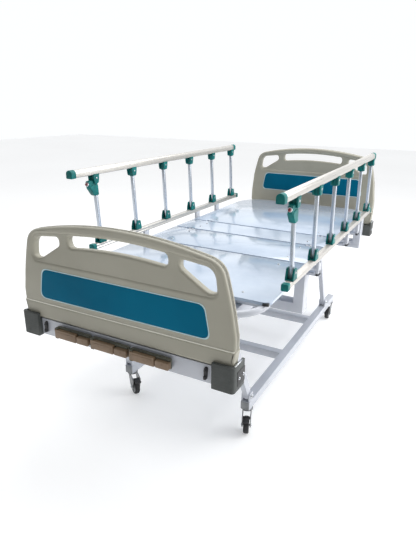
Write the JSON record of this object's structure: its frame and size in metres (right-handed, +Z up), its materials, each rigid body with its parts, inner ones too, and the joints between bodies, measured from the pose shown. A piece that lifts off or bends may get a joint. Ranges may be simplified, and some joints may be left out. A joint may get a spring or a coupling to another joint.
{
  "type": "adjustable hospital bed",
  "caption": "Hand-cranked hospital bed: hinged back, thigh and calf sections on a parallel-lift frame, folding side rails, moulded end boards and swivel casters.",
  "frame": {"origin": "on the floor, under the middle of the whole bed", "axes": "+X to the right seen from the foot, +Y towards the head, +Z up"},
  "size_m": [0.964, 2.2788, 1.0693],
  "materials": {
    "frame_paint": "semi-gloss grey-white powder coat",
    "board_plastic": "satin warm grey moulded plastic",
    "inlay_blue": "satin laminate",
    "deck_white": "glossy moulded plastic",
    "bumper_grey": "matt",
    "crank_brown": "satin",
    "crank_dark": "satin",
    "steel": "zinc plated",
    "rail_aluminium": "anodised satin",
    "post_aluminium": "anodised satin",
    "teal_plastic": "satin moulded plastic",
    "black_plastic": "satin",
    "wheel_tread": "matt rubber",
    "wheel_hub": "satin",
    "button_red": "satin"
  },
  "bodies": {
    "base": {"base_frame": "frame_paint"},
    "foot_right_swivel": {"caster_fork_foot_right": "steel"},
    "foot_right_wheel": {"caster_wheel_foot_right": "wheel_tread"},
    "foot_right_pedal": {"brake_pedal_foot_right": "black_plastic"},
    "foot_left_swivel": {"caster_fork_foot_left": "steel"},
    "foot_left_wheel": {"caster_wheel_foot_left": "wheel_tread"},
    "foot_left_pedal": {"brake_pedal_foot_left": "black_plastic"},
    "head_right_swivel": {"caster_fork_head_right": "steel"},
    "head_right_wheel": {"caster_wheel_head_right": "wheel_tread"},
    "head_right_pedal": {"brake_pedal_head_right": "black_plastic"},
    "head_left_swivel": {"caster_fork_head_left": "steel"},
    "head_left_wheel": {"caster_wheel_head_left": "wheel_tread"},
    "head_left_pedal": {"brake_pedal_head_left": "black_plastic"},
    "foot_lift": {"foot_lift_frame": "frame_paint"},
    "head_lift": {"head_lift_frame": "frame_paint"},
    "upper": {"upper_frame": "frame_paint", "bumper_foot_right": "bumper_grey", "bumper_foot_left": "bumper_grey", "bumper_head_right": "bumper_grey", "bumper_head_left": "bumper_grey", "seat_panel": "deck_white", "right_lower_rail": "rail_aluminium", "left_lower_rail": "rail_aluminium"},
    "footboard": {"footboard": "board_plastic", "footboard_inlay": "inlay_blue"},
    "headboard": {"headboard": "board_plastic", "headboard_inlay": "inlay_blue"},
    "right_latch": {"board_latch_right": "black_plastic"},
    "left_latch": {"board_latch_left": "black_plastic"},
    "back": {"back_panel": "deck_white", "back_frame": "frame_paint"},
    "thigh": {"thigh_panel": "deck_white", "thigh_frame": "frame_paint"},
    "calf": {"calf_panel": "deck_white", "calf_frame": "frame_paint"},
    "back_crank": {"back_crank": "crank_dark"},
    "back_grip": {"back_crank_grip": "crank_brown"},
    "back_drive": {"back_drive_tube": "steel"},
    "height_crank": {"height_crank": "crank_dark"},
    "height_grip": {"height_crank_grip": "crank_brown"},
    "height_drive": {"height_drive_tube": "steel"},
    "knee_crank": {"knee_crank": "crank_dark"},
    "knee_grip": {"knee_crank_grip": "crank_brown"},
    "knee_drive": {"knee_drive_tube": "steel"},
    "right_post_1": {"right_post_1": "post_aluminium"},
    "right_post_2": {"right_post_2": "post_aluminium"},
    "right_post_3": {"right_post_3": "post_aluminium"},
    "right_post_4": {"right_post_4": "post_aluminium"},
    "right_post_5": {"right_post_5": "post_aluminium"},
    "right_post_6": {"right_post_6": "post_aluminium"},
    "right_top_rail": {"right_top_rail": "rail_aluminium"},
    "right_lock": {"right_lock_button": "button_red"},
    "left_post_1": {"left_post_1": "post_aluminium"},
    "left_post_2": {"left_post_2": "post_aluminium"},
    "left_post_3": {"left_post_3": "post_aluminium"},
    "left_post_4": {"left_post_4": "post_aluminium"},
    "left_post_5": {"left_post_5": "post_aluminium"},
    "left_post_6": {"left_post_6": "post_aluminium"},
    "left_top_rail": {"left_top_rail": "rail_aluminium"},
    "left_lock": {"left_lock_button": "button_red"}
  },
  "joints": [
    {"name": "foot_right_swivel", "type": "hinge", "parent": "base", "child": "foot_right_swivel", "pos_m": [0.305, -0.651, 0.1], "axis": [0, 0, 1], "continuous": true},
    {"name": "foot_right_roll", "type": "hinge", "parent": "foot_right_swivel", "child": "foot_right_wheel", "pos_m": [0.31663, -0.68295, 0.0375], "axis": [0.9397, 0.342, 0], "continuous": true},
    {"name": "foot_right_brake", "type": "hinge", "parent": "foot_right_swivel", "child": "foot_right_pedal", "pos_m": [0.3221, -0.69798, 0.084], "axis": [0.9397, 0.342, 0], "range_deg": [0, 15]},
    {"name": "foot_left_swivel", "type": "hinge", "parent": "base", "child": "foot_left_swivel", "pos_m": [-0.305, -0.651, 0.1], "axis": [0, 0, 1], "continuous": true},
    {"name": "foot_left_roll", "type": "hinge", "parent": "foot_left_swivel", "child": "foot_left_wheel", "pos_m": [-0.27715, -0.6705, 0.0375], "axis": [0.5736, 0.8192, 0], "continuous": true},
    {"name": "foot_left_brake", "type": "hinge", "parent": "foot_left_swivel", "child": "foot_left_pedal", "pos_m": [-0.26404, -0.67968, 0.084], "axis": [0.5736, 0.8192, 0], "range_deg": [0, 15]},
    {"name": "head_right_swivel", "type": "hinge", "parent": "base", "child": "head_right_swivel", "pos_m": [0.305, 0.689, 0.1], "axis": [0, 0, 1], "continuous": true},
    {"name": "head_right_roll", "type": "hinge", "parent": "head_right_swivel", "child": "head_right_wheel", "pos_m": [0.30737, 0.65508, 0.0375], "axis": [0.9976, 0.0698, 0], "continuous": true},
    {"name": "head_right_brake", "type": "hinge", "parent": "head_right_swivel", "child": "head_right_pedal", "pos_m": [0.30849, 0.63912, 0.084], "axis": [0.9976, 0.0698, 0], "range_deg": [0, 15]},
    {"name": "head_left_swivel", "type": "hinge", "parent": "base", "child": "head_left_swivel", "pos_m": [-0.305, 0.689, 0.1], "axis": [0, 0, 1], "continuous": true},
    {"name": "head_left_roll", "type": "hinge", "parent": "head_left_swivel", "child": "head_left_wheel", "pos_m": [-0.322, 0.65956, 0.0375], "axis": [0.866, -0.5, 0], "continuous": true},
    {"name": "head_left_brake", "type": "hinge", "parent": "head_left_swivel", "child": "head_left_pedal", "pos_m": [-0.33, 0.6457, 0.084], "axis": [0.866, -0.5, 0], "range_deg": [0, 15]},
    {"name": "height", "type": "hinge", "parent": "base", "child": "foot_lift", "pos_m": [0, -0.658, 0.168], "axis": [1, 0, 0], "range_deg": [-20, 38]},
    {"name": "frame_level", "type": "hinge", "parent": "foot_lift", "child": "upper", "pos_m": [0, -0.85162, 0.548], "axis": [-1, 0, 0], "range_deg": [-20, 38]},
    {"name": "head_lift", "type": "hinge", "parent": "base", "child": "head_lift", "pos_m": [0, 0.513, 0.168], "axis": [1, 0, 0], "range_deg": [-20, 38]},
    {"name": "footboard_lift_out", "type": "slide", "parent": "upper", "child": "footboard", "axis": [0, 0, 1], "range_m": [0, 0.07]},
    {"name": "headboard_lift_out", "type": "slide", "parent": "upper", "child": "headboard", "axis": [0, 0, 1], "range_m": [0, 0.07]},
    {"name": "right_latch_turn", "type": "hinge", "parent": "upper", "child": "right_latch", "pos_m": [0.346, -1.111, 0.5415], "axis": [0, 1, 0], "range_deg": [0, 60]},
    {"name": "left_latch_turn", "type": "hinge", "parent": "upper", "child": "left_latch", "pos_m": [-0.346, -1.111, 0.5415], "axis": [0, -1, 0], "range_deg": [0, 60]},
    {"name": "backrest", "type": "hinge", "parent": "upper", "child": "back", "pos_m": [0, 0.179, 0.669], "axis": [1, 0, 0], "range_deg": [0, 75]},
    {"name": "knee", "type": "hinge", "parent": "upper", "child": "thigh", "pos_m": [0, -0.023, 0.669], "axis": [-1, 0, 0], "range_deg": [0, 38]},
    {"name": "calf", "type": "hinge", "parent": "thigh", "child": "calf", "pos_m": [0, -0.323, 0.6522], "axis": [1, 0, 0], "range_deg": [0, 54]},
    {"name": "back_crank_turn", "type": "hinge", "parent": "upper", "child": "back_crank", "pos_m": [-0.2, -1.112, 0.527], "axis": [0, 1, 0], "range_deg": [0, 3529]},
    {"name": "back_grip_fold", "type": "hinge", "parent": "back_crank", "child": "back_grip", "pos_m": [-0.271, -1.1297, 0.527], "axis": [0, 0, -1], "range_deg": [0, 90]},
    {"name": "back_drive_slide", "type": "slide", "parent": "upper", "child": "back_drive", "axis": [0, 1, 0], "range_m": [0, 0.1374]},
    {"name": "height_crank_turn", "type": "hinge", "parent": "upper", "child": "height_crank", "pos_m": [-0.03, -1.112, 0.527], "axis": [0, 1, 0], "range_deg": [-951, 1806]},
    {"name": "height_grip_fold", "type": "hinge", "parent": "height_crank", "child": "height_grip", "pos_m": [-0.101, -1.1297, 0.527], "axis": [0, 0, -1], "range_deg": [0, 90]},
    {"name": "height_drive_slide", "type": "slide", "parent": "upper", "child": "height_drive", "axis": [0, 1, 0], "range_m": [-0.0371, 0.0704]},
    {"name": "knee_crank_turn", "type": "hinge", "parent": "upper", "child": "knee_crank", "pos_m": [0.14, -1.112, 0.527], "axis": [0, 1, 0], "range_deg": [0, 2249]},
    {"name": "knee_grip_fold", "type": "hinge", "parent": "knee_crank", "child": "knee_grip", "pos_m": [0.069, -1.1297, 0.527], "axis": [0, 0, -1], "range_deg": [0, 90]},
    {"name": "knee_drive_slide", "type": "slide", "parent": "upper", "child": "knee_drive", "axis": [0, -1, 0], "range_m": [0, 0.0876]},
    {"name": "right_post_1_fold", "type": "hinge", "parent": "upper", "child": "right_post_1", "pos_m": [0.466, -0.678, 0.757], "axis": [1, 0, 0], "range_deg": [0, 73]},
    {"name": "right_post_2_fold", "type": "hinge", "parent": "upper", "child": "right_post_2", "pos_m": [0.466, -0.402, 0.757], "axis": [1, 0, 0], "range_deg": [0, 73]},
    {"name": "right_post_3_fold", "type": "hinge", "parent": "upper", "child": "right_post_3", "pos_m": [0.466, -0.126, 0.757], "axis": [1, 0, 0], "range_deg": [0, 73]},
    {"name": "right_post_4_fold", "type": "hinge", "parent": "upper", "child": "right_post_4", "pos_m": [0.466, 0.15, 0.757], "axis": [1, 0, 0], "range_deg": [0, 73]},
    {"name": "right_post_5_fold", "type": "hinge", "parent": "upper", "child": "right_post_5", "pos_m": [0.466, 0.426, 0.757], "axis": [1, 0, 0], "range_deg": [0, 73]},
    {"name": "right_post_6_fold", "type": "hinge", "parent": "upper", "child": "right_post_6", "pos_m": [0.466, 0.702, 0.757], "axis": [1, 0, 0], "range_deg": [0, 73]},
    {"name": "right_rail_level", "type": "hinge", "parent": "right_post_1", "child": "right_top_rail", "pos_m": [0.466, -0.698, 1.02425], "axis": [-1, 0, 0], "range_deg": [0, 73]},
    {"name": "right_lock_press", "type": "slide", "parent": "right_post_1", "child": "right_lock", "axis": [0, 0.9972, 0.0746], "range_m": [0, 0.004], "stiffness_N_per_m": 600, "springref_m": -0.003},
    {"name": "left_post_1_fold", "type": "hinge", "parent": "upper", "child": "left_post_1", "pos_m": [-0.466, -0.631, 0.757], "axis": [1, 0, 0], "range_deg": [0, 73]},
    {"name": "left_post_2_fold", "type": "hinge", "parent": "upper", "child": "left_post_2", "pos_m": [-0.466, -0.355, 0.757], "axis": [1, 0, 0], "range_deg": [0, 73]},
    {"name": "left_post_3_fold", "type": "hinge", "parent": "upper", "child": "left_post_3", "pos_m": [-0.466, -0.079, 0.757], "axis": [1, 0, 0], "range_deg": [0, 73]},
    {"name": "left_post_4_fold", "type": "hinge", "parent": "upper", "child": "left_post_4", "pos_m": [-0.466, 0.197, 0.757], "axis": [1, 0, 0], "range_deg": [0, 73]},
    {"name": "left_post_5_fold", "type": "hinge", "parent": "upper", "child": "left_post_5", "pos_m": [-0.466, 0.473, 0.757], "axis": [1, 0, 0], "range_deg": [0, 73]},
    {"name": "left_post_6_fold", "type": "hinge", "parent": "upper", "child": "left_post_6", "pos_m": [-0.466, 0.749, 0.757], "axis": [1, 0, 0], "range_deg": [0, 73]},
    {"name": "left_rail_level", "type": "hinge", "parent": "left_post_1", "child": "left_top_rail", "pos_m": [-0.466, -0.651, 1.02425], "axis": [-1, 0, 0], "range_deg": [0, 73]},
    {"name": "left_lock_press", "type": "slide", "parent": "left_post_1", "child": "left_lock", "axis": [0, 0.9972, 0.0746], "range_m": [0, 0.004], "stiffness_N_per_m": 600, "springref_m": -0.003}
  ],
  "couplings": [
    {"joint": "frame_level", "follows": "height", "ratio": 1},
    {"joint": "head_lift", "follows": "height", "ratio": 1},
    {"joint": "calf", "follows": "knee", "ratio": 1.42},
    {"joint": "back_drive_slide", "follows": "backrest", "m_per_rad": 0.1048},
    {"joint": "back_crank_turn", "follows": "backrest", "ratio": 47.03},
    {"joint": "height_drive_slide", "follows": "height", "m_per_rad": 0.1058},
    {"joint": "height_crank_turn", "follows": "height", "ratio": 47.48},
    {"joint": "knee_drive_slide", "follows": "knee", "m_per_rad": 0.1318},
    {"joint": "knee_crank_turn", "follows": "knee", "ratio": 59.15},
    {"joint": "right_post_2_fold", "follows": "right_post_1_fold", "ratio": 1},
    {"joint": "right_post_3_fold", "follows": "right_post_1_fold", "ratio": 1},
    {"joint": "right_post_4_fold", "follows": "right_post_1_fold", "ratio": 1},
    {"joint": "right_post_5_fold", "follows": "right_post_1_fold", "ratio": 1},
    {"joint": "right_post_6_fold", "follows": "right_post_1_fold", "ratio": 1},
    {"joint": "right_rail_level", "follows": "right_post_1_fold", "ratio": 1},
    {"joint": "left_post_2_fold", "follows": "left_post_1_fold", "ratio": 1},
    {"joint": "left_post_3_fold", "follows": "left_post_1_fold", "ratio": 1},
    {"joint": "left_post_4_fold", "follows": "left_post_1_fold", "ratio": 1},
    {"joint": "left_post_5_fold", "follows": "left_post_1_fold", "ratio": 1},
    {"joint": "left_post_6_fold", "follows": "left_post_1_fold", "ratio": 1},
    {"joint": "left_rail_level", "follows": "left_post_1_fold", "ratio": 1}
  ]
}
